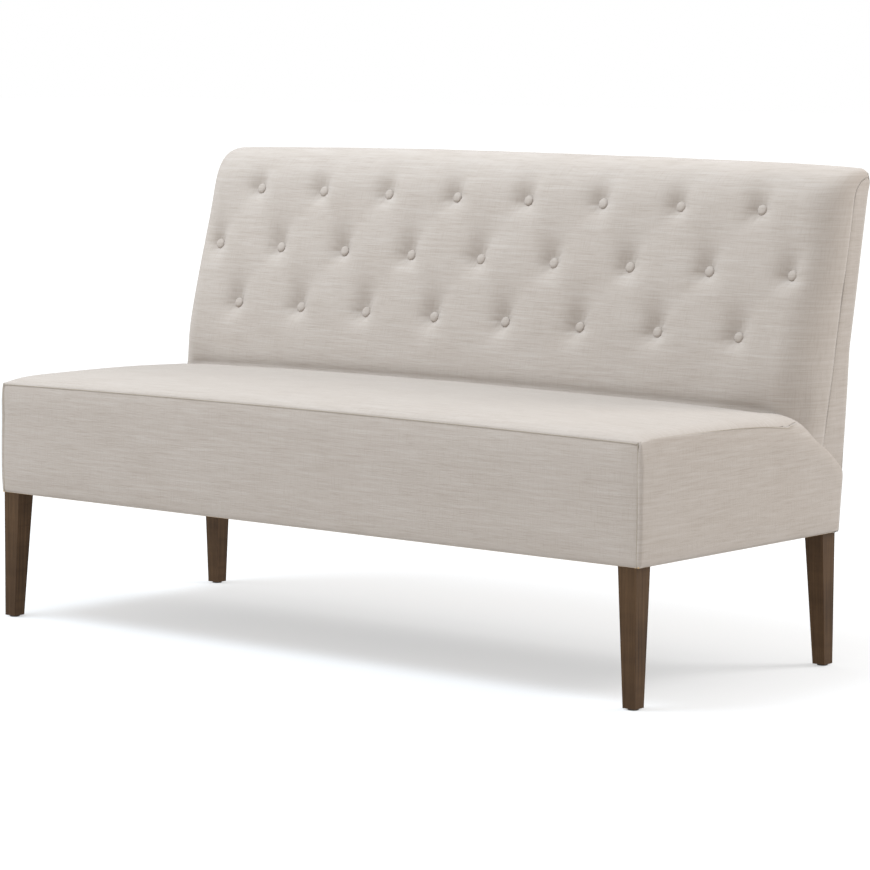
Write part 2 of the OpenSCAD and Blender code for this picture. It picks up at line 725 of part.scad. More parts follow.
// Back posts, cut from wide timber to the lean of both faces
post_top_z = top_end_z - top_roll_h / 2;
module back_post(side) {
    inner = side * post_in_x;
    outer = side * shell_in_x;
    color(timber) placed() difference() {
        side_profile([[post_foot_y, frame_z], [seat_d - skin - liner_t, frame_z],
            [frame_rear_y(bend_z), bend_z], [frame_rear_y(post_top_z), post_top_z],
            [frame_front_y(post_top_z), post_top_z], [frame_front_y(seam_z), seam_z],
            [post_foot_y, seam_z - side_panel_d]], min(inner, outer), max(inner, outer));
        seat_dowels(fit_gap);
        back_dowel_set(fit_gap);
        insert_nut_cuts();
    }
}
module back_post_left() back_post(-1);
module back_post_right() back_post(1);

// Toggles behind the board hold the twine, and the top rail starts above the highest of them
toggle_r = 5;
toggle_l = 22;
toggle_room = 5;

// Rails of the back, between the end posts, with two inner posts between the rails
top_rail_foot_z = row_z[2] + toggle_r + toggle_room;
pull_gap = 12;
lower_rail_z = deck_top + pull_gap;
lower_rail_top_z = lower_rail_z + lower_rail_h;
// An inner post stands midway between the toggles of two neighbouring rows
inner_post_share = 1.25;
inner_post_x = button_pitch * inner_post_share;
module rail_between(z0, z1, x0, x1) {
    side_profile([[frame_front_y(z0), z0], [frame_rear_y(z0), z0],
        [frame_rear_y(z1), z1], [frame_front_y(z1), z1]], x0, x1);
}
module back_top_rail() {
    color(timber) placed() difference() {
        rail_between(top_rail_foot_z, post_top_z, -post_in_x, post_in_x);
        back_dowel_set(fit_gap);
    }
}
module back_lower_rail() {
    color(timber) placed() difference() {
        rail_between(lower_rail_z, lower_rail_top_z, -post_in_x, post_in_x);
        back_dowel_set(fit_gap);
    }
}
module back_inner_posts() {
    color(timber) placed() for (s = [-1, 1]) difference() {
        side_profile([[frame_front_y(lower_rail_top_z), lower_rail_top_z],
            [frame_rear_y(lower_rail_top_z), lower_rail_top_z], [frame_rear_y(bend_z), bend_z],
            [frame_rear_y(top_rail_foot_z), top_rail_foot_z],
            [frame_front_y(top_rail_foot_z), top_rail_foot_z]],
            s * inner_post_x - inner_post_w / 2, s * inner_post_x + inner_post_w / 2);
        back_dowel_set(fit_gap);
    }
}
// Dowels along x join the rails to the end posts, upright dowels join the inner posts to the rails
function frame_mid_y(z) = (frame_front_y(z) + frame_rear_y(z)) / 2;
top_dowel_z = (top_rail_foot_z + post_top_z) / 2;
lower_dowel_z = (lower_rail_z + lower_rail_top_z) / 2;
back_dowel_r = 4;
back_dowel_l = 40;
module back_dowel_set(gap) {
    for (s = [-1, 1], z = [top_dowel_z, lower_dowel_z])
        rod_x([s * post_in_x - back_dowel_l / 2 - gap, frame_mid_y(z), z],
            back_dowel_l + gap * 2, back_dowel_r + gap);
    for (s = [-1, 1], z = [top_rail_foot_z, lower_rail_top_z])
        rod_z([s * inner_post_x, frame_mid_y(z), z - back_dowel_l / 2 - gap],
            back_dowel_l + gap * 2, back_dowel_r + gap);
}
module back_dowels() { color(timber) placed() back_dowel_set(0); }

// End bands of the back: from the front edge of the panel to the rear, above the seat's end bands
face_edge = [for (j = [2 : row_count - 2])
    let (p = face_outer[(j + 1) * len(face_cols_x) - 1], turn = row_turn(j))
    [p.y + band_drop * cos(turn), p.z - band_drop * sin(turn)]];
module back_side_band(side) {
    outer = side * half_w;
    inner = side * (half_w - cover_t);
    foot_y0 = side_y(seam_z - tuck_row_drop) + band_drop;
    foot_y1 = seat_d - skin;
    color(linen) placed() side_profile(concat(
        [[rear_y(bend_z) - skin, bend_z]],
        [for (i = [band_steps : -1 : 0]) let (y = foot_y0 + i / band_steps * (foot_y1 - foot_y0))
            [y, seat_z(half_w, y) + soft_gap]],
        [for (p = face_edge) p],
        [[rear_y(top_end_z) - skin * 2, top_end_z - skin * 2]]),
        min(inner, outer), max(inner, outer));
}
module back_side_band_left() back_side_band(-1);
module back_side_band_right() back_side_band(1);

// Outside back: a cover, with a stiff liner behind it on the posts
module rear_sheet(near, far, z0, drop, half) {
    intersection() {
        side_profile([
            for (p = [[far, z0], [near, z0], [near, bend_z], [near, top_z(0)], [far, top_z(0)], [far, bend_z]])
                [rear_y(p.y) - p.x, p.y]], -half, half);
        front_profile(concat([[half, z0], [-half, z0]],
            [for (i = [0 : band_steps]) let (x = (i / band_steps * 2 - 1) * half) [x, top_z(x) - drop]]),
            0, overall_d + cut_over);
    }
}
module outside_back_cover() {
    color(linen) placed() rear_sheet(0, cover_t, leg_h, band_drop, half_w);
}
module outside_back_liner() {
    color(black_cloth) placed() rear_sheet(skin, skin + liner_t, rail_top, band_drop + top_roll_h / 2, shell_in_x);
}

// Buttons: a covered dome on a metal back whose shank holds the twine
button_r = button_dia / 2;
button_back_t = 1;
button_back_share = 0.8;
shank_r = 2;
function tuft_bottom_y(b) = plain_face_y(b.x, b.y) + tuft_depth + fold(b.x, b.y);
// A tuft is a cone whose steepest side rises to the next row of the face; the button rests on its wall
grid_rise = row_pitch / cells;
tuft_rise = tuft_depth * (1 - exp(-pow(grid_rise / tuft_reach, 2)))
    + fold_depth * (1 - fold_line(1 / cells / 2));
side_slope_share = 0.6;
tuft_slope = norm([tuft_rise / grid_rise, side_slope_share]);
button_seat = button_r * tuft_slope + soft_gap * 2;
shank_l = button_seat - shank_r * tuft_slope - soft_gap;
module at_buttons() {
    for (b = buttons) translate([b.x, tuft_bottom_y(b), b.y]) rotate([90 - face_lean, 0, 0])
        translate([0, 0, button_seat]) children();
}
module tuft_buttons() {
    dome_r = (pow(button_r, 2) + pow(button_h, 2)) / (2 * button_h);
    color(linen) placed() at_buttons() rotate_extrude() intersection() {
        translate([0, button_h - dome_r]) circle(r = dome_r);
        square([button_r, button_h]);
    }
}
module button_backs() {
    color(steel) placed() at_buttons() mirror([0, 0, 1]) {
        cylinder(h = button_back_t, r = button_r * button_back_share);
        cylinder(h = shank_l, r = shank_r);
    }
}

// Twine runs from behind each tuft, through the pad and the board, to a toggle
module tufting_twine() {
    color(fibre) placed() for (b = buttons)
        let (y0 = tuft_bottom_y(b) + cover_t + soft_gap, y1 = frame_front_y(b.y) + soft_gap + toggle_r)
        rod_y([b.x, y0, b.y], y1 - y0, twine_r);
}
module twine_toggles() {
    color(timber) placed() for (b = buttons) difference() {
        rod_x([b.x - toggle_l / 2, frame_front_y(b.y) + soft_gap + toggle_r, b.y], toggle_l, toggle_r);
        rod_y([b.x, frame_front_y(b.y), b.y], soft_gap + toggle_r + fit_gap, twine_r + fit_gap);
    }
}

leg_front_left();
leg_front_right();
leg_back_left();
leg_back_right();
leg_glides();
leg_hanger_bolts();
leg_insert_nuts();
corner_post_left();
corner_post_right();
front_rail();
back_rail();
end_rail_left();
end_rail_right();
seat_cross_rails();
corner_blocks();
corner_block_screws();
frame_dowels();
spring_clips();
seat_springs();
spring_tie_wires();
deck_cloth();
seat_foam();
seat_batting();
seat_top_cover();
seat_front_band();
seat_end_band_left();
seat_end_band_right();
dust_cover();
back_post_left();
back_post_right();
back_inner_posts();
back_top_rail();
back_lower_rail();
back_dowels();
tufting_board();
back_foam();
back_batting();
back_front_cover();
back_side_band_left();
back_side_band_right();
outside_back_liner();
outside_back_cover();
tuft_buttons();
button_backs();
tufting_twine();
twine_toggles();
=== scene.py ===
"""Dresses the banquette bench: tufted linen covers, seams, stained legs, studio floor and light."""
import json
import math

import bpy
import numpy as np
from mathutils import Matrix, Vector

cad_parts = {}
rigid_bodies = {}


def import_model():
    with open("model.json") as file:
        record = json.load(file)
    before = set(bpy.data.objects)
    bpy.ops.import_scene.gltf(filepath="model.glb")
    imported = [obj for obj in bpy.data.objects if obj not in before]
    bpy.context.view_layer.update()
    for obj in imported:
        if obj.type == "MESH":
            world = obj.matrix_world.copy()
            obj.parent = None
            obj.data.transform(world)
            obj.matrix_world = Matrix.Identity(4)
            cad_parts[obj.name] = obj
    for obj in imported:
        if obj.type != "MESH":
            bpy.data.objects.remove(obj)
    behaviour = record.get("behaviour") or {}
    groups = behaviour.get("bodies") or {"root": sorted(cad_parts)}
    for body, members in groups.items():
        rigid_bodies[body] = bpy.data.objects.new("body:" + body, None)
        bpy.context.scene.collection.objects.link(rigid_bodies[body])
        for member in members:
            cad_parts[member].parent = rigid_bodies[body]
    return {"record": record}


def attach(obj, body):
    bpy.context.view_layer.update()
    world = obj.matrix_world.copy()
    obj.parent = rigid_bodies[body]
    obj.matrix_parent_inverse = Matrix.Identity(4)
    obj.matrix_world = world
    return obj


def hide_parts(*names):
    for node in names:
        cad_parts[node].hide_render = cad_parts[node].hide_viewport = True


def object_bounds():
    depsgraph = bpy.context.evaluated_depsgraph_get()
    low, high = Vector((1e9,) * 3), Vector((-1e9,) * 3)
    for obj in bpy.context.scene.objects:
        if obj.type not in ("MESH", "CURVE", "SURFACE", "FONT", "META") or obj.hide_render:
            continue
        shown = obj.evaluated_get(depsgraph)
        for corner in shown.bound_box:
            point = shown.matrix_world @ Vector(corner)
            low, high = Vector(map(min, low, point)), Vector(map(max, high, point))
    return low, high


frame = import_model()
CAD_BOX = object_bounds()

# Sizes in millimetres, the same as the solids have, with y measured from the seat's front
MM = 0.001
BENCH_W = 1600.0
HALF_W = BENCH_W / 2
SEAT_D = 638.0
LEG_H = 255.0
SEAM_Z = LEG_H + 221.0
TOP_END_Z = SEAM_Z + 456.0
BEND_Z = LEG_H + 345.0
BACK_D = 201.0
FACE_LEAN = math.tan(math.radians(16.8))
REAR_LEAN_LOW = math.tan(math.radians(4.4))
REAR_LEAN_HIGH = math.tan(math.radians(10.4))
SIDE_LEAN = math.tan(math.radians(11.3))
SIDE_PANEL_D = 64.0
FACE_CROWN = 24.0
BACK_BOW = 15.0
# How much of the bow the top edge already has close to its ends
TOP_FULL = 6.0
TOP_POWER = 2.6
ROLL_Z = TOP_END_Z - 66.0
END_ROLL = 73.0
LAST_BUTTON_X = HALF_W - END_ROLL
BUTTONS_LONG = 9
BUTTON_PITCH = LAST_BUTTON_X * 2 / (BUTTONS_LONG - 1)
ROW_PITCH = 118.7
ROW_Z = [SEAM_Z + 141.0 + ROW_PITCH * r for r in range(3)]
BUTTON_R = 10.5
HALF_D = (CAD_BOX[1][1] - CAD_BOX[0][1]) / 2 / MM
# The seat's top: its rim, its dome, its seams, and the full shoulders in front of the back's ends
SEAT_RIM_H = 15.0
RIM_REACH_X = 12.0
RIM_REACH_Y = 22.0
SEAT_DOME_H = 8.5
DOME_Y = 280.0
FRONT_SEAM_BOW = 6.0
END_SEAM_FALL = 98.0
FALL_START_Y = 150.0
FALL_POWER = 4.4
FALL_REACH = 55.0
SHOULDER_H = 6.0
SHOULDER_Y = 500.0
SHOULDER_LONG = 42.0
SHOULDER_RISE = 7.0
SHOULDER_REACH = 60.0


def rear_y(z):
    """The rear face of the back, which bends once."""
    return SEAT_D + (np.minimum(z, BEND_Z) - LEG_H) * REAR_LEAN_LOW + np.maximum(z - BEND_Z, 0) * REAR_LEAN_HIGH


def side_y(z):
    """The front edge of the back's end panels."""
    return rear_y(SEAM_Z) - SIDE_PANEL_D + (z - SEAM_Z) * SIDE_LEAN


def bow(x):
    """One in the middle of the bench and nothing at its ends."""
    return 1 - (x / HALF_W) ** 2


def top_z(x):
    """The top edge of the back, fuller towards its ends than a plain arc."""
    return TOP_END_Z + TOP_FULL + (BACK_BOW - TOP_FULL) * (1 - (np.abs(x) / HALF_W) ** TOP_POWER)


def face_y(x, z):
    """The back's face before it is tufted, up to its last buttons."""
    crown = (np.minimum(np.abs(x), LAST_BUTTON_X) / LAST_BUTTON_X) ** 2
    return rear_y(SEAM_Z) - BACK_D + (z - SEAM_Z) * FACE_LEAN + FACE_CROWN * crown


def end_turn(x):
    """How far the face has rolled back towards the end panel, in radians."""
    return np.arcsin(np.clip((np.abs(x) - LAST_BUTTON_X) / END_ROLL, 0, 1))


def rolled_y(x, z):
    """The face with its rolled ends."""
    y = face_y(x, z)
    return y + (side_y(z) - y) * (1 - np.cos(end_turn(x)))


def seat_z(x, y):
    """The crowned seat top, whose end seams fall towards the rear corners."""
    inward = HALF_W - np.abs(x)
    fall = END_SEAM_FALL * (np.maximum(y - FALL_START_Y, 0) / (SEAT_D - FALL_START_Y)) ** FALL_POWER
    rim = SEAT_RIM_H * (1 - np.exp(-inward / RIM_REACH_X)) * (1 - np.exp(-np.maximum(y, 0) / RIM_REACH_Y))
    dome = SEAT_DOME_H * bow(x) * np.maximum(1 - ((y - DOME_Y) / DOME_Y) ** 2, 0)
    shoulder = (SHOULDER_H * np.exp(-((y - SHOULDER_Y) / SHOULDER_LONG) ** 2)
                * (1 - np.exp(-inward / SHOULDER_RISE)) * np.exp(-inward / SHOULDER_REACH))
    return SEAM_Z + FRONT_SEAM_BOW * bow(x) - fall * np.exp(-inward / FALL_REACH) + rim + dome + shoulder


def smooth(value, start, end):
    """Nothing before start, one after end, and a soft step between them."""
    t = np.clip((value - start) / (end - start), 0, 1)
    return t * t * (3 - 2 * t)


def ripple(a, b, wave_a, wave_b, seed):
    """A smooth uneven field between -1 and 1, the same in every run."""
    total = np.zeros(np.broadcast(a, b).shape)
    for k in range(1, 6):
        turn = seed * 1.7 + k * 2.399
        phase = a / wave_a * (0.6 + 0.37 * k) * math.cos(turn) + b / wave_b * (0.6 + 0.37 * k) * math.sin(turn)
        total = total + np.sin(phase * 2 * math.pi + seed * k) / k
    return total / 2.3


BUTTONS = [((i - (n - 1) / 2) * BUTTON_PITCH, z)
           for n, z in zip((BUTTONS_LONG - 1, BUTTONS_LONG, BUTTONS_LONG - 1), ROW_Z) for i in range(n)]
# How the cloth dips at a button: a flat floor under it, then a soft wall with small gathers
FLOOR_R = 8.0
DIP = 20.5
DIP_REACH = 19.0
GATHER = 0.9
GATHER_R = 17.0
GATHER_W = 9.0
# Folds between staggered buttons
FOLD_DEPTH = 1.5
FOLD_WIDTH = 13.0
FOLD_MIDDLE = 0.4
FOLD_SWAY = 1.2
# How far a button's hollow and its folds are worked out, across and upwards
TUFT_AREA_X = 160.0
TUFT_AREA_Z = 150.0
# The swell of the cloth above and below each button, less outside the rows
PUFF = 1.2
PUFF_W = 42.0
PUFF_H = 46.0
PUFF_FULL = 1.3


def dip_at(dx, dz, k):
    """The hollow that button k makes in the cloth, longer above the button than below it."""
    r = np.hypot(dx, dz)
    angle = np.arctan2(dz, dx)
    upward = np.clip(np.sin(angle), 0, 1)
    reach = DIP_REACH * (0.92 + 1.05 * upward ** 3 + 0.05 * np.cos(3 * angle + k * 1.3))
    gather = GATHER * np.cos(9 * angle + k * 0.9 + 0.5 * np.sin(2 * angle + k))
    gather = gather * np.exp(-((r - GATHER_R) / GATHER_W) ** 2)
    return DIP * np.exp(-(np.maximum(r - FLOOR_R, 0) / reach) ** 1.3) + gather


def fold_between(x, z, a, b, k):
    """The fold from button a to button b of the next row."""
    dx, dz = b[0] - a[0], b[1] - a[1]
    length = math.hypot(dx, dz)
    along = ((x - a[0]) * dx + (z - a[1]) * dz) / length
    off = ((x - a[0]) * dz - (z - a[1]) * dx) / length
    share = np.clip(along / length, 0, 1)
    sway = FOLD_SWAY * np.sin(share * math.pi * 2 + k)
    beyond = np.maximum(np.maximum(-along, along - length), 0)
    strength = FOLD_MIDDLE + (1 - FOLD_MIDDLE) * np.abs(2 * share - 1) ** 1.5
    width = FOLD_WIDTH * (1.15 - 0.35 * np.abs(2 * share - 1))
    return FOLD_DEPTH * strength * np.exp(-((off - sway) ** 2 + beyond ** 2) / width ** 2)


def tuft(x, z):
    """How far back the buttons and the folds between them draw the cloth."""
    depth = np.zeros(x.shape)
    folds = np.zeros(x.shape)
    for k, a in enumerate(BUTTONS):
        near = (np.abs(x - a[0]) < TUFT_AREA_X) & (np.abs(z - a[1]) < TUFT_AREA_Z)
        depth[near] = np.maximum(depth[near], dip_at(x[near] - a[0], z[near] - a[1], k))
        for b in BUTTONS:
            if abs(b[1] - a[1] - ROW_PITCH) < 1 and abs(abs(b[0] - a[0]) - BUTTON_PITCH / 2) < 1:
                folds[near] = np.maximum(folds[near], fold_between(x[near], z[near], a, b, k))
    return depth + folds * (1 - np.clip(depth / DIP, 0, 1))


def puff(x, z):
    """The soft swell of the cloth between the buttons, towards the front."""
    swell = np.zeros(x.shape)
    for bx, bz in BUTTONS:
        for step in (-1, 1):
            middle = bz + step * ROW_PITCH
            inside = ROW_Z[0] - 1 < middle < ROW_Z[2] + 1
            swell += (1.0 if inside else 0.5) * np.exp(-((x - bx) / PUFF_W) ** 2 - ((z - middle) / PUFF_H) ** 2)
    return PUFF * np.minimum(swell, PUFF_FULL)


def settle(points):
    """From millimetres behind the seat's front to the frame's metres."""
    return (np.asarray(points, float) - [0, HALF_D, 0]) * MM


def added(name, data):
    """A new object in the scene."""
    piece = bpy.data.objects.new(name, data)
    bpy.context.collection.objects.link(piece)
    return piece


def final_mesh(piece):
    """A piece's mesh with its modifiers or its bevel applied."""
    return bpy.data.meshes.new_from_object(piece.evaluated_get(bpy.context.evaluated_depsgraph_get()))


def cloth(name, points, thickness, material, flip=False):
    """A cloth of the given thickness through a grid of points, its outer face where they lie."""
    rows, cols = points.shape[:2]
    a = (np.arange(rows - 1)[:, None] * cols + np.arange(cols - 1)[None]).ravel()
    faces = np.stack([a, a + 1, a + cols + 1, a + cols], 1)
    if flip:
        faces = faces[:, ::-1]
    mesh = bpy.data.meshes.new(name)
    mesh.from_pydata(settle(points.reshape(-1, 3)).tolist(), [], faces.tolist())
    mesh.shade_smooth()
    mesh.materials.append(material)
    piece = added(name, mesh)
    solid = piece.modifiers.new("thickness", "SOLIDIFY")
    solid.thickness = thickness * MM
    solid.offset = -1.0
    thick = final_mesh(piece)
    piece.modifiers.clear()
    piece.data = thick
    return piece


def tube(name, paths, radius, material):
    """Round threads along lists of points, as one piece."""
    curve = bpy.data.curves.new(name, "CURVE")
    curve.dimensions = "3D"
    curve.bevel_depth = radius * MM
    curve.bevel_resolution = 2
    for path in paths:
        spline = curve.splines.new("POLY")
        spline.points.add(len(path) - 1)
        flat = np.ones((len(path), 4))
        flat[:, :3] = settle(path)
        spline.points.foreach_set("co", flat.ravel())
    holder = added(name, curve)
    mesh = final_mesh(holder)
    bpy.data.objects.remove(holder)
    mesh.shade_smooth()
    mesh.materials.append(material)
    return added(name, mesh)


# Materials
class Nodes:
    """A short way to write a material's nodes."""

    def __init__(self, name):
        self.material = bpy.data.materials.new(name)
        self.material.use_nodes = True
        self.tree = self.material.node_tree
        self.shader = self.tree.nodes["Principled BSDF"]

    def feed(self, socket, value):
        """Links an output to an input, or sets the input to a value."""
        if isinstance(value, bpy.types.NodeSocket):
            self.tree.links.new(value, socket)
        else:
            socket.default_value = value

    def add(self, kind, inputs=(), **settings):
        """A new node with the given settings and inputs."""
        node = self.tree.nodes.new(kind)
        for key, value in settings.items():
            setattr(node, key, value)
        for key, value in dict(inputs).items():
            self.feed(node.inputs[key], value)
        return node

    def shade(self, **inputs):
        """Sets the shader's inputs, written with low lines for the spaces in their names."""
        for key, value in inputs.items():
            self.shader.inputs[key.replace("_", " ")].default_value = value

    def axes(self, u, v, u_scale, v_scale):
        """Object coordinates turned so that u runs along the threads."""
        split = self.add("ShaderNodeSeparateXYZ", {0: self.object_place()}).outputs
        across, up = self.math("MULTIPLY", split[u], u_scale), self.math("MULTIPLY", split[v], v_scale)
        return self.add("ShaderNodeCombineXYZ", {0: across, 1: up}).outputs[0]

    def object_place(self):
        """A point's place in the object's coordinates, which are the frame's."""
        return self.add("ShaderNodeTexCoord").outputs["Object"]

    def noise(self, vector, scale, detail, rough):
        """A noise between 0 and 1."""
        return self.add("ShaderNodeTexNoise", {"Vector": vector, "Scale": scale, "Detail": detail,
                                               "Roughness": rough}).outputs["Fac"]

    def remap(self, value, low, high, to_low, to_high):
        """A value carried from one span to another, and held at its ends."""
        return self.add("ShaderNodeMapRange", {0: value, 1: low, 2: high, 3: to_low, 4: to_high}).outputs[0]

    def mix(self, factor, a, b):
        """Colour a where the factor is 0 and b where it is 1."""
        return self.add("ShaderNodeMix", {0: factor, 6: a, 7: b}, data_type="RGBA").outputs[2]

    def math(self, operation, a, b):
        """The sum or product of two values."""
        return self.add("ShaderNodeMath", {0: a, 1: b}, operation=operation).outputs[0]

    def wire(self, color, height, strength, distance):
        """Gives the material its colour and its fine relief."""
        self.feed(self.shader.inputs["Base Color"], color)
        bump = self.add("ShaderNodeBump", {"Strength": strength, "Distance": distance, "Height": height})
        self.feed(self.shader.inputs["Normal"], bump.outputs[0])
        return self.material


X, Y, Z = 0, 1, 2
LINEN = (0.368, 0.322, 0.283, 1)
LINEN_PALE = (0.45, 0.41, 0.375, 1)
LINEN_SLUB = (0.262, 0.22, 0.18, 1)


def linen(name, along, across):
    """Natural linen: a plain weave with thick and thin yarns that run along one axis."""
    n = Nodes(name)
    slubs = n.noise(n.axes(along, across, 24.0, 520.0), 1.0, 4.0, 0.6)
    long_slubs = n.noise(n.axes(along, across, 9.0, 170.0), 1.0, 3.0, 0.5)
    uprights = n.noise(n.axes(across, along, 30.0, 560.0), 1.0, 3.0, 0.55)
    patches = n.noise(n.axes(along, across, 6.0, 10.0), 1.0, 2.0, 0.5)
    color = n.mix(n.remap(slubs, 0.5, 0.72, 0.0, 0.5), LINEN, LINEN_SLUB)
    color = n.mix(n.remap(long_slubs, 0.5, 0.72, 0.0, 0.34), color, LINEN_PALE)
    color = n.mix(n.remap(long_slubs, 0.44, 0.3, 0.0, 0.22), color, LINEN_SLUB)
    color = n.mix(n.remap(uprights, 0.5, 0.72, 0.0, 0.26), color, LINEN_SLUB)
    color = n.mix(n.remap(patches, 0.3, 0.7, 0.0, 0.12), color, LINEN_PALE)
    height = n.math("ADD", slubs, n.math("MULTIPLY", uprights, 0.8))
    n.shade(Roughness=0.9, Specular_IOR_Level=0.15, Sheen_Weight=0.12, Sheen_Roughness=0.5)
    return n.wire(color, height, 0.5, 0.0010)


def wood(name, dark, light, along):
    """Stained timber with its grain along one axis."""
    n = Nodes(name)
    others = [a for a in (X, Y, Z) if a != along]
    grain = n.noise(n.axes(along, others[0], 5.0, 190.0), 1.0, 6.0, 0.65)
    grain_other = n.noise(n.axes(along, others[1], 5.0, 190.0), 1.0, 6.0, 0.65)
    both = n.math("MULTIPLY", n.math("ADD", grain, grain_other), 0.5)
    pores = n.noise(n.axes(along, others[0], 40.0, 900.0), 1.0, 2.0, 0.5)
    color = n.mix(n.remap(both, 0.38, 0.64, 0.0, 1.0), dark, light)
    color = n.mix(n.remap(pores, 0.56, 0.7, 0.0, 0.5), color, dark)
    n.shade(Roughness=0.5, Specular_IOR_Level=0.12)
    return n.wire(color, both, 0.15, 0.0005)


def plain(name, color, other, scale, roughness, metallic=0.0):
    """A matt or metal finish with a fine unevenness."""
    n = Nodes(name)
    speck = n.noise(n.object_place(), scale, 4.0, 0.6)
    n.shade(Roughness=roughness, Metallic=metallic)
    return n.wire(n.mix(n.remap(speck, 0.35, 0.65, 0.0, 1.0), color, other), speck, 0.2, 0.0004)


# Shapes
# The usual spacing of a grid's points, and the numbers of rows and columns of single parts
STEP = 4.0
ROLL_STEPS = 26
END_STEPS = 22
OVER_ROWS = 9
WALL_ROWS = 48
SIDE_ROWS = 130
SIDE_COLUMNS = 18
SIDES = {-1: "left", 1: "right"}
CLOTH_T = 2.0
BATTING_T = 5.0
DUST_CLOTH_T = 0.8
THREAD_R = 0.8
# How far the outer edges of the back's covers turn in
TUCK = 4.0
# What a panel turns under the seat box, and how far its lower edge stands above the legs' tops
HEM = 14.0
FOOT_RISE = 0.5
# How far the upper edge of a panel rounds inwards before it goes over into the seam
EDGE_ROUND = 3.0
# The bulge of the seat's panels, and how far from their ends it is reached
PANEL_BELLY = 2.6
PANEL_BELLY_REACH = 30.0
# The reach of the dents beside the corner seams, and the fold beside them
SEAM_REACH = 4.5
CORNER_FOLD = 0.9
CORNER_FOLD_AT = 8.0
CORNER_BELLY_REACH = 12.0
# The unevenness of the panels
PANEL_RIPPLE = 0.6
# What a panel's last row is tucked in under the seat's top
TUCK_IN = 3.0
TUCK_DOWN = 1.6
# How far the dust cover stays inside the seat box
UNDER_INSET = 12.0
# The seat's front corners, which round from the corner seams to the end panels
CORNER_R = 7.0
SEAM_X = HALF_W - CORNER_R
# How far the seat's seams lie inside its faces, and how deep they are drawn in
SEAM_IN = 4.5
GROOVE = 1.3
# The rounding of the back's top rear edge, and of its top at the ends
TOP_CORNER_R = 13.0
TOP_END_R = 17.0
# The back's cover starts this far below the seat's top, and ends this far from the rear face
BEHIND_SEAT = 10.0
TOP_EDGE_IN = 2.0
# The height over which the face's lean below the roll is measured
LEAN_SPAN = 10.0
# The top roll's handles, as shares of its rise and of its depth
ROLL_RISE_SHARE = 0.78
ROLL_DEPTH_SHARE = 0.56
# How far from the ends the rounding of the top rear edge reaches, and how far down that of the ends
CORNER_REACH = 34.0
END_DROP_H = 55.0


def spaced(start, end, step=STEP):
    """Evenly spaced values from start to end, about a step apart."""
    return np.linspace(start, end, int(abs(end - start) / step) + 2)


def bench_columns():
    """Columns across the back, closer together round its rolled ends."""
    turn = np.linspace(0, math.pi / 2, END_STEPS)[1:]
    end = LAST_BUTTON_X + END_ROLL * np.sin(turn)
    return np.concatenate([-end[::-1], spaced(-LAST_BUTTON_X, LAST_BUTTON_X), end])


def back_surface():
    """The back's face and top roll before tufting, and the height along the cloth at each point."""
    x = bench_columns()
    low = np.full(x.shape, SEAM_Z)
    for _ in range(5):
        low = seat_z(x, rolled_y(x, low)) - BEHIND_SEAT
    rows = int((ROLL_Z - SEAM_Z) / STEP) + 10
    share = np.linspace(0, 1, rows)[:, None]
    z = low + (ROLL_Z - low) * share
    xs = np.broadcast_to(x, z.shape)
    face = np.stack([xs, rolled_y(xs, z), z], -1)
    start = face[-1]
    lean = (rolled_y(x, ROLL_Z) - rolled_y(x, ROLL_Z - LEAN_SPAN)) / LEAN_SPAN
    up = 1 / np.hypot(1, lean)
    handle = ROLL_RISE_SHARE * (top_z(x) - ROLL_Z)
    end = np.stack([x, rear_y(top_z(x)) - TOP_EDGE_IN, top_z(x)], -1)
    first = start + np.stack([x * 0, lean * up * handle, up * handle], -1)
    last = end - np.stack([x * 0, ROLL_DEPTH_SHARE * (end[:, 1] - start[:, 1]), x * 0], -1)
    t = np.linspace(0, 1, ROLL_STEPS)[1:, None, None]
    roll = (1 - t) ** 3 * start + 3 * (1 - t) ** 2 * t * first + 3 * (1 - t) * t * t * last + t ** 3 * end
    points = np.concatenate([face, roll])
    along = np.linalg.norm(np.diff(points, axis=0), axis=-1)
    height = points[..., 2].copy()
    height[rows:] = ROLL_Z + np.cumsum(along[rows - 1:], axis=0) * math.cos(math.atan(FACE_LEAN))
    return points, height


def inward(points):
    """Unit normals of a grid of points, pointing into the bench."""
    right = np.gradient(points, axis=1)
    up = np.gradient(points, axis=0)
    normal = np.cross(up, right)
    return normal / np.maximum(np.linalg.norm(normal, axis=-1, keepdims=True), 1e-9)


# Where a button stands, behind and above its point of the face
BUTTON_BACK = 20.1
BUTTON_RISE = 3.0
# The button's middle stands this far above the point of the face that it pulls in
PULL_RISE = 8.3
# How much of a tuft's depth is left where the face has rolled back to its ends
END_TUFT_SHARE = 0.25
BACK_RIPPLE = 0.8
# How far the rolled ends are drawn back where they go down behind the seat: between these distances
# from the middle it comes and goes, and it fades with the height above the seat's seam
CREVICE_PULL = 17.0
CREVICE_FROM = (610.0, 765.0)
CREVICE_TO = (780.0, 800.0)
CREVICE_H = 62.0
# How far the cover's foot turns back behind the seat, where it ends near the rolled ends, and its height
FOOT_PULL = 8.5
FOOT_TO = (700.0, 790.0)
FOOT_ABOVE = 2.0
FOOT_H = 15.0


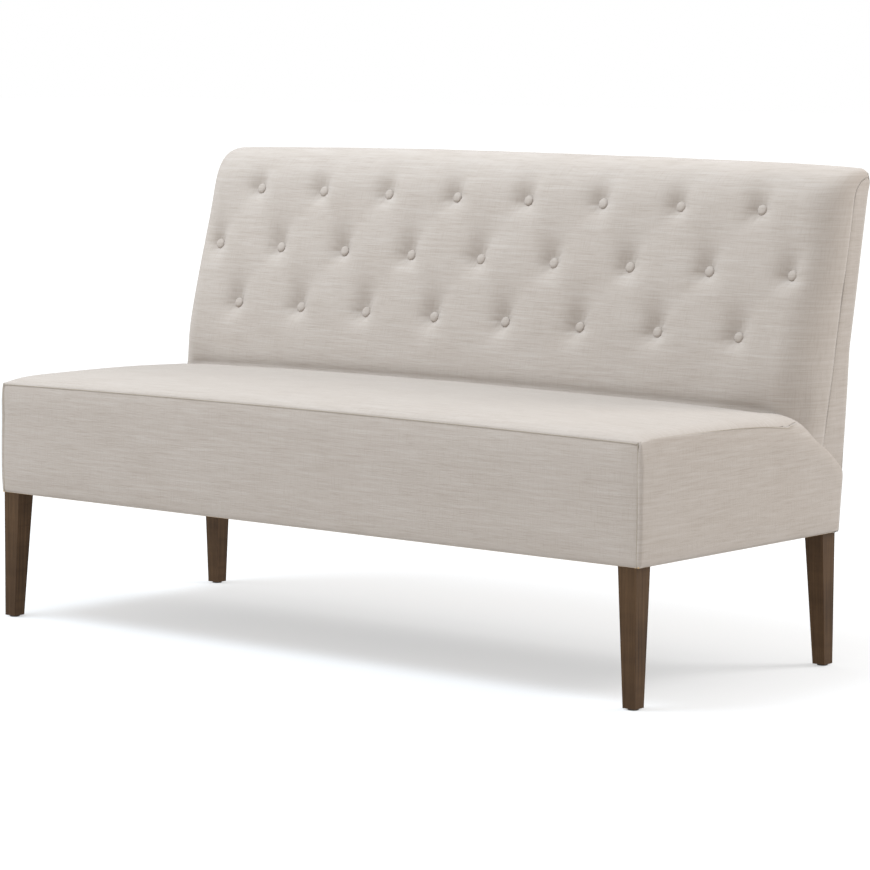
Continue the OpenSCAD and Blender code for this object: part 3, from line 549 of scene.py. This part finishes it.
def soften(points, within):
    """Rounds the back's upper corners, from the rear and from the ends, for points so far within the ends."""
    x, y, z = points[..., 0], points[..., 1], points[..., 2]
    u = np.maximum(y - rear_y(z) + TOP_CORNER_R, 0)
    v = np.maximum(z - top_z(x) + TOP_CORNER_R, 0)
    over = 1 - np.minimum(TOP_CORNER_R / np.maximum(np.hypot(u, v), 1e-6), 1)
    over = over * np.exp(-(within / CORNER_REACH) ** 2)
    turn = np.clip(1 - within / TOP_END_R, 0, 1)
    drop = TOP_END_R * (1 - np.sqrt(1 - turn * turn)) * smooth(z, top_z(x) - END_DROP_H, top_z(x))
    return np.stack([x, y - u * over, z - v * over - drop], -1)


def back_cushion(material):
    """The back's tufted face and top roll, with its batting."""
    points, height = back_surface()
    normal = inward(points)
    x = points[..., 0]
    near_end = np.cos(end_turn(x))
    drawn = tuft(x, height - PULL_RISE) * (END_TUFT_SHARE + (1 - END_TUFT_SHARE) * near_end)
    drawn = drawn - puff(x, height - PULL_RISE) * near_end + BACK_RIPPLE * ripple(x, height, 330.0, 210.0, 3)
    points = points + normal * drawn[..., None]
    rolled = smooth(np.abs(x), *CREVICE_FROM) * (1 - smooth(np.abs(x), *CREVICE_TO))
    points[..., 1] += CREVICE_PULL * rolled * np.exp(-(np.maximum(height - SEAM_Z, 0) / CREVICE_H) ** 2)
    above = np.maximum(height - seat_z(x, points[..., 1]) - FOOT_ABOVE, 0)
    points[..., 1] += FOOT_PULL * (1 - smooth(np.abs(x), *FOOT_TO)) * np.exp(-above / FOOT_H)
    return cloth("back_cushion", soften(points, HALF_W - np.abs(x)), BATTING_T, material)


# How far the seat's top reaches under the back
UNDER_BACK = 15.0
# The end seams run out towards the end, and further back in over the rim, between these depths
SEAM_OUT = 2.7
SEAM_OUT_Y = (120.0, 380.0)
SEAM_OVER = 20.0
SEAM_OVER_Y = (455.0, 545.0)
GROOVE_FADE_Y = (420.0, 500.0)
# Where the end panels form the rear of the rim, they round less and swell more
RIM_SHARPER = 1.0
RIM_SHARPER_Y = (420.0, 480.0)
RIM_SWELL = 3.2
RIM_SWELL_Y = (390.0, 500.0)


def seat_rear_y(x):
    """Where the seat's top meets the back."""
    z = seat_z(x, face_y(x, SEAM_Z))
    return np.where(np.abs(x) > HALF_W - 1, SEAT_D, np.minimum(rolled_y(x, z) + UNDER_BACK, SEAT_D))


def seam_inset(y):
    """How far the end seams lie inside the bench: close to the edge, then over the rear of the rim."""
    return SEAM_IN - SEAM_OUT * smooth(y, *SEAM_OUT_Y) + SEAM_OVER * smooth(y, *SEAM_OVER_Y)


def groove_at(y):
    """Depth of the end seams' groove, which closes where the rim turns under the back."""
    return GROOVE * (1 - smooth(y, *GROOVE_FADE_Y))


def rim_round(y):
    """How far the upper edge of an end panel rounds inwards."""
    return EDGE_ROUND - RIM_SHARPER * smooth(y, *RIM_SHARPER_Y)


def rim_full(y):
    """How far the end panel swells outwards where its upper edge forms the rear of the rim."""
    return RIM_SWELL * smooth(y, *RIM_SWELL_Y)


def rounded_corner(inward, y, radius=CORNER_R):
    """Turns the square front corners of a grid into round ones."""
    u, v = np.clip(1 - inward / radius, 0, 1), np.clip(1 - y / radius, 0, 1)
    return inward + radius * u * (1 - np.sqrt(1 - v * v / 2)), y + radius * v * (1 - np.sqrt(1 - u * u / 2))


# How far inwards the seat's grid follows the end seams
SEAM_FOLLOW = 75.0
SEAT_RIPPLE = 1.2
# The seat's top dips where it goes under the back, except at the bench's ends
REAR_DIP = 11.0
REAR_DIP_AT = 12.0
REAR_DIP_REACH = 8.0
REAR_DIP_FROM = (50.0, 90.0)


def seat_cushion(material):
    """The crowned top panel, its front and end edges turned down into the seam."""
    inner = np.array([0, 0.6, 1.6, 3, 5, 8, 12, 17, 23, 30, 38, 47, 56])
    inward = np.concatenate([inner, spaced(63, HALF_W, 6.0)])
    x = np.concatenate([inward - HALF_W, (HALF_W - inward[:-1])[::-1]])
    near = [0, 0.6, 1.6, 3, 5, 8, 12, 16, 20, 25, 30]
    last = SEAT_D - np.array([34, 28, 23, 18.5, 14.5, 11, 8, 5.5, 3.5, 1.7, 0])
    depth = np.concatenate([near, spaced(36, SEAT_D - 40, 6.0), last])
    xs = np.broadcast_to(x, (len(depth), len(x)))
    rear = seat_rear_y(xs)
    y = SEAM_IN + depth[:, None] / SEAT_D * (rear - SEAM_IN)
    side = np.where(xs < 0, -1.0, 1.0)
    inward = HALF_W - np.abs(xs)
    inward = inward + seam_inset(y) * np.exp(-inward / SEAM_FOLLOW)
    shifted, y = rounded_corner(inward - SEAM_IN, y - SEAM_IN)
    xs, y = side * (HALF_W - shifted - SEAM_IN), y + SEAM_IN
    z = seat_z(xs, y) + SEAT_RIPPLE * ripple(xs, y, 420.0, 260.0, 5) * (1 - np.exp(-y / 40)) * bow(xs)
    ahead = np.maximum(rear - REAR_DIP_AT - y, 0)
    z -= REAR_DIP * np.exp(-ahead / REAR_DIP_REACH) * smooth(shifted, *REAR_DIP_FROM)
    points = np.stack([xs, y, z], -1)
    groove = points[:1] - [0, 0, GROOVE]
    points = np.concatenate([groove, points])
    drop = np.zeros((len(points), 1, 3))
    drop[:, 0, 2] = groove_at(points[:, 0, 1])
    points = np.concatenate([points[:, :1] - drop, points, points[:, -1:] - drop], axis=1)
    return cloth("seat_cushion", points, CLOTH_T, material)


def leaned(y, z):
    """Moves points of an end panel back, so that its rear edge follows the sloping rear face."""
    return y + (rear_y(z) - SEAT_D) * np.clip(y / SEAT_D, 0, 1) ** 3


def rim_z(place):
    """Height of the seat's top over points [x, y] of an end panel."""
    z = seat_z(place[:, 0], place[:, 1])
    for _ in range(4):
        z = seat_z(place[:, 0], leaned(place[:, 1], z))
    return z


def wall(name, base, normal, belly, flat_end, flip, material):
    """An upright panel over points [x, y] with outward normals: under the foot, up, and over into the seam."""
    is_end = np.abs(normal[:, 0]) > 0.9
    edge = np.where(is_end, rim_round(base[:, 1]), EDGE_ROUND)
    swell = np.where(is_end, rim_full(base[:, 1]), 0.0)
    brink = base - normal * edge[:, None]
    top = rim_z(brink)
    inset = np.where(is_end, seam_inset(leaned(base[:, 1], top)), SEAM_IN)
    low = LEG_H + FOOT_RISE
    rows = [(np.full(len(base), -HEM), top * 0 + low + 1.0), (np.full(len(base), -1.5), top * 0 + low)]
    for share in np.linspace(0.012, 1, WALL_ROWS) ** 0.85:
        z = low + (top - low) * share
        full = belly * min(1.0, 7 * share * (1 - share))
        full = full + PANEL_RIPPLE * ripple(base[:, 0] + base[:, 1], z, 480.0, 170.0, 7)
        full = full * (1 - share ** 12) + swell * share ** 1.5
        rows.append((full - (edge + swell) * np.exp(-(top - z) / (5.0 + edge)), z))
    for q in np.linspace(0, 1, OVER_ROWS)[1:]:
        offset = edge + q * np.maximum(inset - edge, 0.5)
        place = base - normal * offset[:, None]
        rows.append((-offset, rim_z(place)))
    rows.append((rows[-1][0], rows[-1][1] - np.where(is_end, groove_at(base[:, 1]), GROOVE)))
    rows.append((rows[-1][0] - TUCK_IN, rows[-1][1] - TUCK_DOWN))
    points = []
    for offset, z in rows:
        place = base + normal * offset[:, None]
        points.append(np.stack([place[:, 0], leaned(place[:, 1], z), z], -1))
    points = np.stack(points)
    along = np.append(0, np.cumsum(np.linalg.norm(np.diff(base, axis=0), axis=1)))
    sunk = GROOVE * np.exp(-along / SEAM_REACH)
    if flat_end:
        sunk += GROOVE * np.exp(-(along[-1] - along) / SEAM_REACH)
    else:
        sunk -= CORNER_FOLD * np.exp(-((along - CORNER_FOLD_AT) / SEAM_REACH) ** 2)
    points[..., :2] -= normal * sunk[:, None]
    return cloth(name, points, CLOTH_T, material, flip)


def front_band(material):
    """The seat's front panel, between the seams at its corners."""
    near = np.array([0, 0.6, 1.4, 2.6, 4.2, 6.5, 10.0])
    x = np.concatenate([near - SEAM_X, spaced(16 - SEAM_X, SEAM_X - 16, 8.0), (SEAM_X - near)[::-1]])
    base = np.stack([x, x * 0], -1)
    normal = np.broadcast_to([0.0, -1.0], base.shape).copy()
    belly = PANEL_BELLY * np.minimum(1, (SEAM_X - np.abs(x)) / PANEL_BELLY_REACH)
    return wall("front_band", base, normal, belly, True, False, material)


def end_band(side, material):
    """The seat's end panel, from the seam at the front corner, round that corner, to the rear face."""
    turn = np.linspace(0, math.pi / 2, 9)
    corner = np.stack([SEAM_X + CORNER_R * np.sin(turn), CORNER_R * (1 - np.cos(turn))], -1)
    y = spaced(CORNER_R, SEAT_D, 7.0)[1:]
    base = np.concatenate([corner, np.stack([y * 0 + HALF_W, y], -1)])
    normal = np.concatenate([np.stack([np.sin(turn), -np.cos(turn)], -1), np.stack([y * 0 + 1, y * 0], -1)])
    ahead = np.append(turn * CORNER_R, y + CORNER_R) / CORNER_BELLY_REACH
    behind = (SEAT_D - base[:, 1]) / PANEL_BELLY_REACH
    belly = PANEL_BELLY * np.minimum(1, np.minimum(ahead, behind))
    base[:, 0] *= side
    normal[:, 0] *= side
    return wall("end_band_" + SIDES[side], base, normal, belly, False, side < 0, material)


# The end panels of the back: their start below the seat's top, their bulge, and their foot behind the rim
SIDE_BELOW = 8.0
SIDE_BELLY = 1.8
SIDE_OUT = 0.1
SIDE_FOOT_IN = 1.5
SIDE_FOOT_SHARES = (0.02, 0.12)
SIDE_RIPPLE = 0.3
# How far the panels' front and rear edges are tucked in
SIDE_FRONT_IN = 0.7
SIDE_REAR_IN = 3.0
# The bulge of the cover on the rear of the back
REAR_BELLY = 1.5


def side_band(side, material):
    """The back's end panel, from its seam with the rolled end to the rear face."""
    points, _ = back_surface()
    outline = points[:, -1, 1:]
    s = np.linspace(0, 1, SIDE_COLUMNS)
    low = np.full(s.shape, SEAM_Z - 40.0)
    for _ in range(6):
        front = np.interp(low, outline[:, 1], outline[:, 0])
        front = np.where(low < outline[0, 1], side_y(low), front)
        low = seat_z(HALF_W, front + s * (rear_y(low) - front)) - SIDE_BELOW
    t = np.linspace(0, 1, SIDE_ROWS)[:, None] ** 1.35
    z = low + (top_z(HALF_W) - 1.0 - low) * t
    front = np.where(z < outline[0, 1], side_y(z), np.interp(z, outline[:, 1], outline[:, 0]))
    y = front + s * (rear_y(z) - front)
    belly = SIDE_BELLY * np.minimum(1, 6 * s * (1 - s)) * np.minimum(1, 8 * t * (1 - t))
    foot = SIDE_FOOT_IN * (1 - smooth(t, *SIDE_FOOT_SHARES))
    x = HALF_W + SIDE_OUT - foot + belly + SIDE_RIPPLE * ripple(y, z, 120.0, 200.0, 17 + side)
    points = np.stack([x * side, y, z], -1)
    before, behind = points[:, :1] - [SIDE_FRONT_IN * side, 0, 0], points[:, -1:] - [SIDE_REAR_IN * side, 0, 0]
    points = np.concatenate([before, points, behind], axis=1)
    points = np.concatenate([points, points[-1:] - [TUCK * side, 0, 0.4]])
    return cloth("side_band_" + SIDES[side], soften(points, 0.0), CLOTH_T, material, side < 0)


def outside_back(material):
    """The rear cover, pulled tight, from the foot of the seat to the top edge."""
    x = np.concatenate([[-HALF_W + TUCK], spaced(-HALF_W, HALF_W, 10.0), [HALF_W - TUCK]])
    share = np.concatenate([[0], np.linspace(0, 1, 70), [1]])[:, None]
    z = LEG_H + FOOT_RISE + (top_z(x) - 2.0 - LEG_H) * share
    xs = np.broadcast_to(x, z.shape)
    near_end = np.minimum(1, (HALF_W - np.abs(xs)) / PANEL_BELLY_REACH)
    belly = REAR_BELLY * np.minimum(1, 4 * share * (1 - share)) * near_end
    y = rear_y(z) - 0.3 + np.maximum(belly, 0) + 0.4 * ripple(xs, z, 600.0, 300.0, 23)
    points = np.stack([xs, y, z], -1)
    points[0] -= [0, HEM, -1.0]
    points[1] -= [0, 1.5, 0]
    points[-1] -= [0, TUCK, 1.0]
    points[:, 0] -= [0, TUCK, 0]
    points[:, -1] -= [0, TUCK, 0]
    return cloth("outside_back", soften(points, HALF_W - np.abs(xs)), CLOTH_T, material, True)


def under_cloth(material):
    """The dust cover, which sags a little between its tacks."""
    x = spaced(-HALF_W + UNDER_INSET, HALF_W - UNDER_INSET, 20.0)
    y = spaced(UNDER_INSET, SEAT_D - UNDER_INSET, 20.0)
    xs, ys = np.meshgrid(x, y)
    across = np.abs(np.sin(np.pi * (xs + HALF_W) / BENCH_W)) * np.abs(np.sin(np.pi * ys / SEAT_D))
    z = LEG_H + 0.2 + 1.2 * (1 - across ** 0.5)
    return cloth("under_cloth", np.stack([xs, ys, z], -1), DUST_CLOTH_T, material, True)


# A button's outline from its middle to its back: shares of its radius, and heights
BUTTON_OUTLINE = [(0.0, 3.4), (0.25, 3.3), (0.5, 3.0), (0.7, 2.4), (0.86, 1.5), (0.96, 0.5), (1.0, -0.4),
                  (0.97, -1.4), (0.85, -2.2), (0.5, -2.6)]
BUTTON_SIDES = 40


def buttons(material):
    """Covered buttons: a domed top, a rolled rim, and gathers of cloth round the edge."""
    around = BUTTON_SIDES
    verts, faces = [], []
    tilt = Matrix.Rotation(math.pi / 2 - math.atan(FACE_LEAN), 3, "X")
    for k, (bx, bz) in enumerate(BUTTONS):
        middle = Vector((bx, float(face_y(np.float64(bx), bz)) + BUTTON_BACK, bz + BUTTON_RISE))
        start = len(verts)
        for r, h in BUTTON_OUTLINE:
            for j in range(around):
                angle = j / around * 2 * math.pi
                gather = 1 + (0.018 * math.sin(angle * 13 + k) if 0.9 < r else 0)
                out = r * BUTTON_R * gather
                verts.append(tuple(middle + tilt @ Vector((out * math.cos(angle), out * math.sin(angle), h))))
        for i in range(len(BUTTON_OUTLINE) - 1):
            for j in range(around):
                a, b = start + i * around + j, start + i * around + (j + 1) % around
                faces.append((a, a + around, b + around, b))
        faces.append([start + (len(BUTTON_OUTLINE) - 1) * around + j for j in range(around)][::-1])
    mesh = bpy.data.meshes.new("buttons")
    mesh.from_pydata(settle(verts).tolist(), [], faces)
    mesh.shade_smooth()
    mesh.materials.append(material)
    return added("buttons", mesh)


# The end seams' thread shows as far back as this, and lies this far below the seat's top
THREAD_END_Y = 486.0
THREAD_LOW = 0.9
# Along the front the thread lies further out and lower, on the rounding of the edge
THREAD_OUT = 3.0
THREAD_LOWER = 1.8
THREAD_REACH = 2.0
# How far the corner threads lie behind the front face
CORNER_THREAD_Y = 1.3


def seams(material):
    """Thread in the grooves of the seat's seams and down its front corners."""
    y = spaced(SEAM_IN + CORNER_R, THREAD_END_Y, 6.0)
    turn = np.linspace(0, math.pi / 2, 8)
    end = HALF_W - seam_inset(y)
    reach = end[0] - CORNER_R * (1 - np.sin(turn))
    corner = np.stack([reach, SEAM_IN + CORNER_R * (1 - np.cos(turn))], -1)
    half = np.concatenate([corner, np.stack([end, y], -1)])
    plan = np.concatenate([half[::-1] * [-1, 1], np.stack([spaced(-reach[0], reach[0], 8.0)] * 2, -1) * [1, 0]
                           + [0, SEAM_IN], half])
    in_front = np.exp(-np.maximum(plan[:, 1] - SEAM_IN, 0) / THREAD_REACH)
    lowered = THREAD_LOW + THREAD_LOWER * in_front
    plan[:, 1] -= THREAD_OUT * in_front
    paths = [np.append(plan, (seat_z(plan[:, 0], plan[:, 1]) - lowered)[:, None], axis=1)]
    for side in SIDES:
        z = spaced(LEG_H + 0.3, SEAM_Z + 1, 8.0)
        paths.append(np.stack([z * 0 + side * SEAM_X, z * 0 + CORNER_THREAD_Y, z], -1))
    return tube("seam_lines", paths, THREAD_R, material)


# Finishes
back_linen = linen("linen_along_x", X, Z)
side_linen = linen("linen_along_y", Y, Z)
top_linen = linen("linen_top", X, Y)
seam_thread = plain("seam_thread", (0.34, 0.295, 0.24, 1), (0.28, 0.24, 0.19, 1), 900.0, 0.9)
lining = plain("lining", (0.03, 0.03, 0.03, 1), (0.05, 0.05, 0.048, 1), 1500.0, 0.95)
walnut = wood("walnut", (0.038, 0.020, 0.009, 1), (0.095, 0.053, 0.025, 1), Z)
TIMBER = ((0.46, 0.30, 0.15, 1), (0.62, 0.44, 0.25, 1))
timber_x = wood("timber_x", *TIMBER, X)
timber_z = wood("timber_z", *TIMBER, Z)
timber_y = wood("timber_y", *TIMBER, Y)
ply = wood("ply", (0.50, 0.34, 0.18, 1), (0.66, 0.49, 0.30, 1), X)
steel = plain("zinc_steel", (0.55, 0.56, 0.58, 1), (0.42, 0.43, 0.45, 1), 220.0, 0.38, 1.0)
black_plastic = plain("glide_plastic", (0.02, 0.018, 0.016, 1), (0.035, 0.03, 0.027, 1), 500.0, 0.5)
board = plain("liner_board", (0.42, 0.31, 0.20, 1), (0.50, 0.38, 0.26, 1), 300.0, 0.9)
foam = plain("foam", (0.80, 0.74, 0.42, 1), (0.70, 0.63, 0.33, 1), 900.0, 0.95)
fibre = plain("fibre_fill", (0.88, 0.88, 0.85, 1), (0.80, 0.80, 0.77, 1), 260.0, 0.95)
twine = plain("twine", (0.72, 0.66, 0.55, 1), (0.60, 0.53, 0.42, 1), 1200.0, 0.85)

BY_NODE = {
    "leg_front_left": walnut, "leg_front_right": walnut, "leg_back_left": walnut, "leg_back_right": walnut,
    "front_rail": timber_x, "back_rail": timber_x, "back_top_rail": timber_x, "back_lower_rail": timber_x,
    "end_rail_left": timber_y, "end_rail_right": timber_y, "seat_cross_rails": timber_y,
}
BY_SLOT = {
    "linen": back_linen, "stained_wood": walnut, "frame_timber": timber_z, "plywood": ply, "zinc_steel": steel,
    "glide_plastic": black_plastic, "lining_cloth": lining, "liner_board": board, "foam": foam,
    "fibre_fill": fibre, "twine": twine,
}
for part in frame["record"]["subparts"]:
    node = bpy.data.objects[part["node"]]
    finish = BY_NODE.get(part["node"], BY_SLOT[part["material_slot"]])
    for place in node.material_slots:
        place.material = finish

# The dressed pieces
back = back_cushion(back_linen)
seat = seat_cushion(top_linen)
front = front_band(back_linen)
ends = {side: end_band(side, side_linen) for side in SIDES}
sides = {side: side_band(side, side_linen) for side in SIDES}
rear = outside_back(back_linen)
under = under_cloth(lining)
covered = buttons(back_linen)
lines = seams(seam_thread)

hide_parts("back_front_cover", "back_batting", "back_foam")
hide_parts("seat_top_cover", "seat_batting")
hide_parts("seat_front_band")
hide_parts("seat_end_band_left")
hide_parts("seat_end_band_right")
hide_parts("back_side_band_left")
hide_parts("back_side_band_right")
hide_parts("outside_back_cover")
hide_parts("dust_cover")
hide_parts("tuft_buttons")
for piece in (back, seat, front, *ends.values(), *sides.values(), rear, covered, lines):
    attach(piece, "root")
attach(under, "root")


# The studio
# The floor's half width, and its glow, which is painted light: from and to these distances, and from and to these
# strengths
FLOOR_SIZE = 40.0
GLOW_SPAN = (2.2, 7.0)
GLOW = (0.49, 0.75)


def floor_piece():
    """A wide floor, grey but made pale by its glow, which is painted light: it lightens the shadow the bench
    casts on the floor, and it glows more in the distance and so meets the white world.
    """
    mesh = bpy.data.meshes.new("studio_floor")
    size = FLOOR_SIZE
    mesh.from_pydata([(-size, -size, 0), (size, -size, 0), (size, size, 0), (-size, size, 0)], [], [(0, 1, 2, 3)])
    n = Nodes("studio_floor")
    n.shade(Base_Color=(0.40, 0.40, 0.40, 1), Roughness=1.0, Specular_IOR_Level=0.0, Emission_Color=(1, 1, 1, 1))
    away = n.add("ShaderNodeVectorMath", {0: n.object_place()}, operation="LENGTH").outputs["Value"]
    # Painted light: the floor's glow lightens the bench's cast shadow and whitens the distance
    n.feed(n.shader.inputs["Emission Strength"], n.remap(away, *GLOW_SPAN, *GLOW))
    mesh.materials.append(n.material)
    return added("studio_floor", mesh)


floor_piece()


def area_light(name, place, target, size, power, color=(1, 1, 1)):
    """A soft rectangular lamp that faces its target."""
    light = bpy.data.lights.new(name, "AREA")
    light.shape = "RECTANGLE"
    light.size, light.size_y = size
    light.energy = power
    light.color = color
    lamp = added(name, light)
    lamp.location = place
    lamp.rotation_euler = (Vector(target) - Vector(place)).to_track_quat("-Z", "Y").to_euler()


area_light("key", (-1.1, -1.4, 4.4), (0, 0, 0.5), (2.4, 1.8), 200, (0.78, 0.89, 1.0))
area_light("left", (-4.6, -2.2, 2.2), (0, 0, 0.6), (2.4, 2.4), 22)
area_light("right", (2.6, 2.6, 2.9), (0.8, 0.2, 0.75), (1.4, 1.4), 92)

world = bpy.data.worlds.new("studio")
world.use_nodes = True
background = world.node_tree.nodes["Background"]
background.inputs["Color"].default_value = (1, 1, 1, 1)
background.inputs["Strength"].default_value = 1.0
bpy.context.scene.world = world
bpy.context.scene.view_settings.view_transform = "Standard"

# The photograph's camera: its place in millimetres from the seat's front, its azimuth, pitch and roll in
# degrees, and its sensor and focal length in millimetres
CAMERA_PLACE = (4508.96, -5107.82, 1191.54)
CAMERA_TURN = (39.25, 6.36, 0.36)
SENSOR_W = 36.0
FOCAL_LENGTH = 150.25
azimuth, pitch, roll = (math.radians(a) for a in CAMERA_TURN)
right = Vector((math.cos(azimuth), math.sin(azimuth), 0))
ahead = Vector((-math.sin(azimuth) * math.cos(pitch), math.cos(azimuth) * math.cos(pitch), -math.sin(pitch)))
up = right.cross(ahead)
level = right * math.cos(roll) + up * math.sin(roll)
upright = up * math.cos(roll) - right * math.sin(roll)
lens = bpy.data.cameras.new("photo_camera")
lens.sensor_width = SENSOR_W
lens.lens = FOCAL_LENGTH
lens.clip_end = 200.0
camera = added("photo_camera", lens)
turned = Matrix((level, upright, -ahead)).transposed().to_4x4()
camera.matrix_world = Matrix.Translation(settle(CAMERA_PLACE).tolist()) @ turned
bpy.context.scene.camera = camera
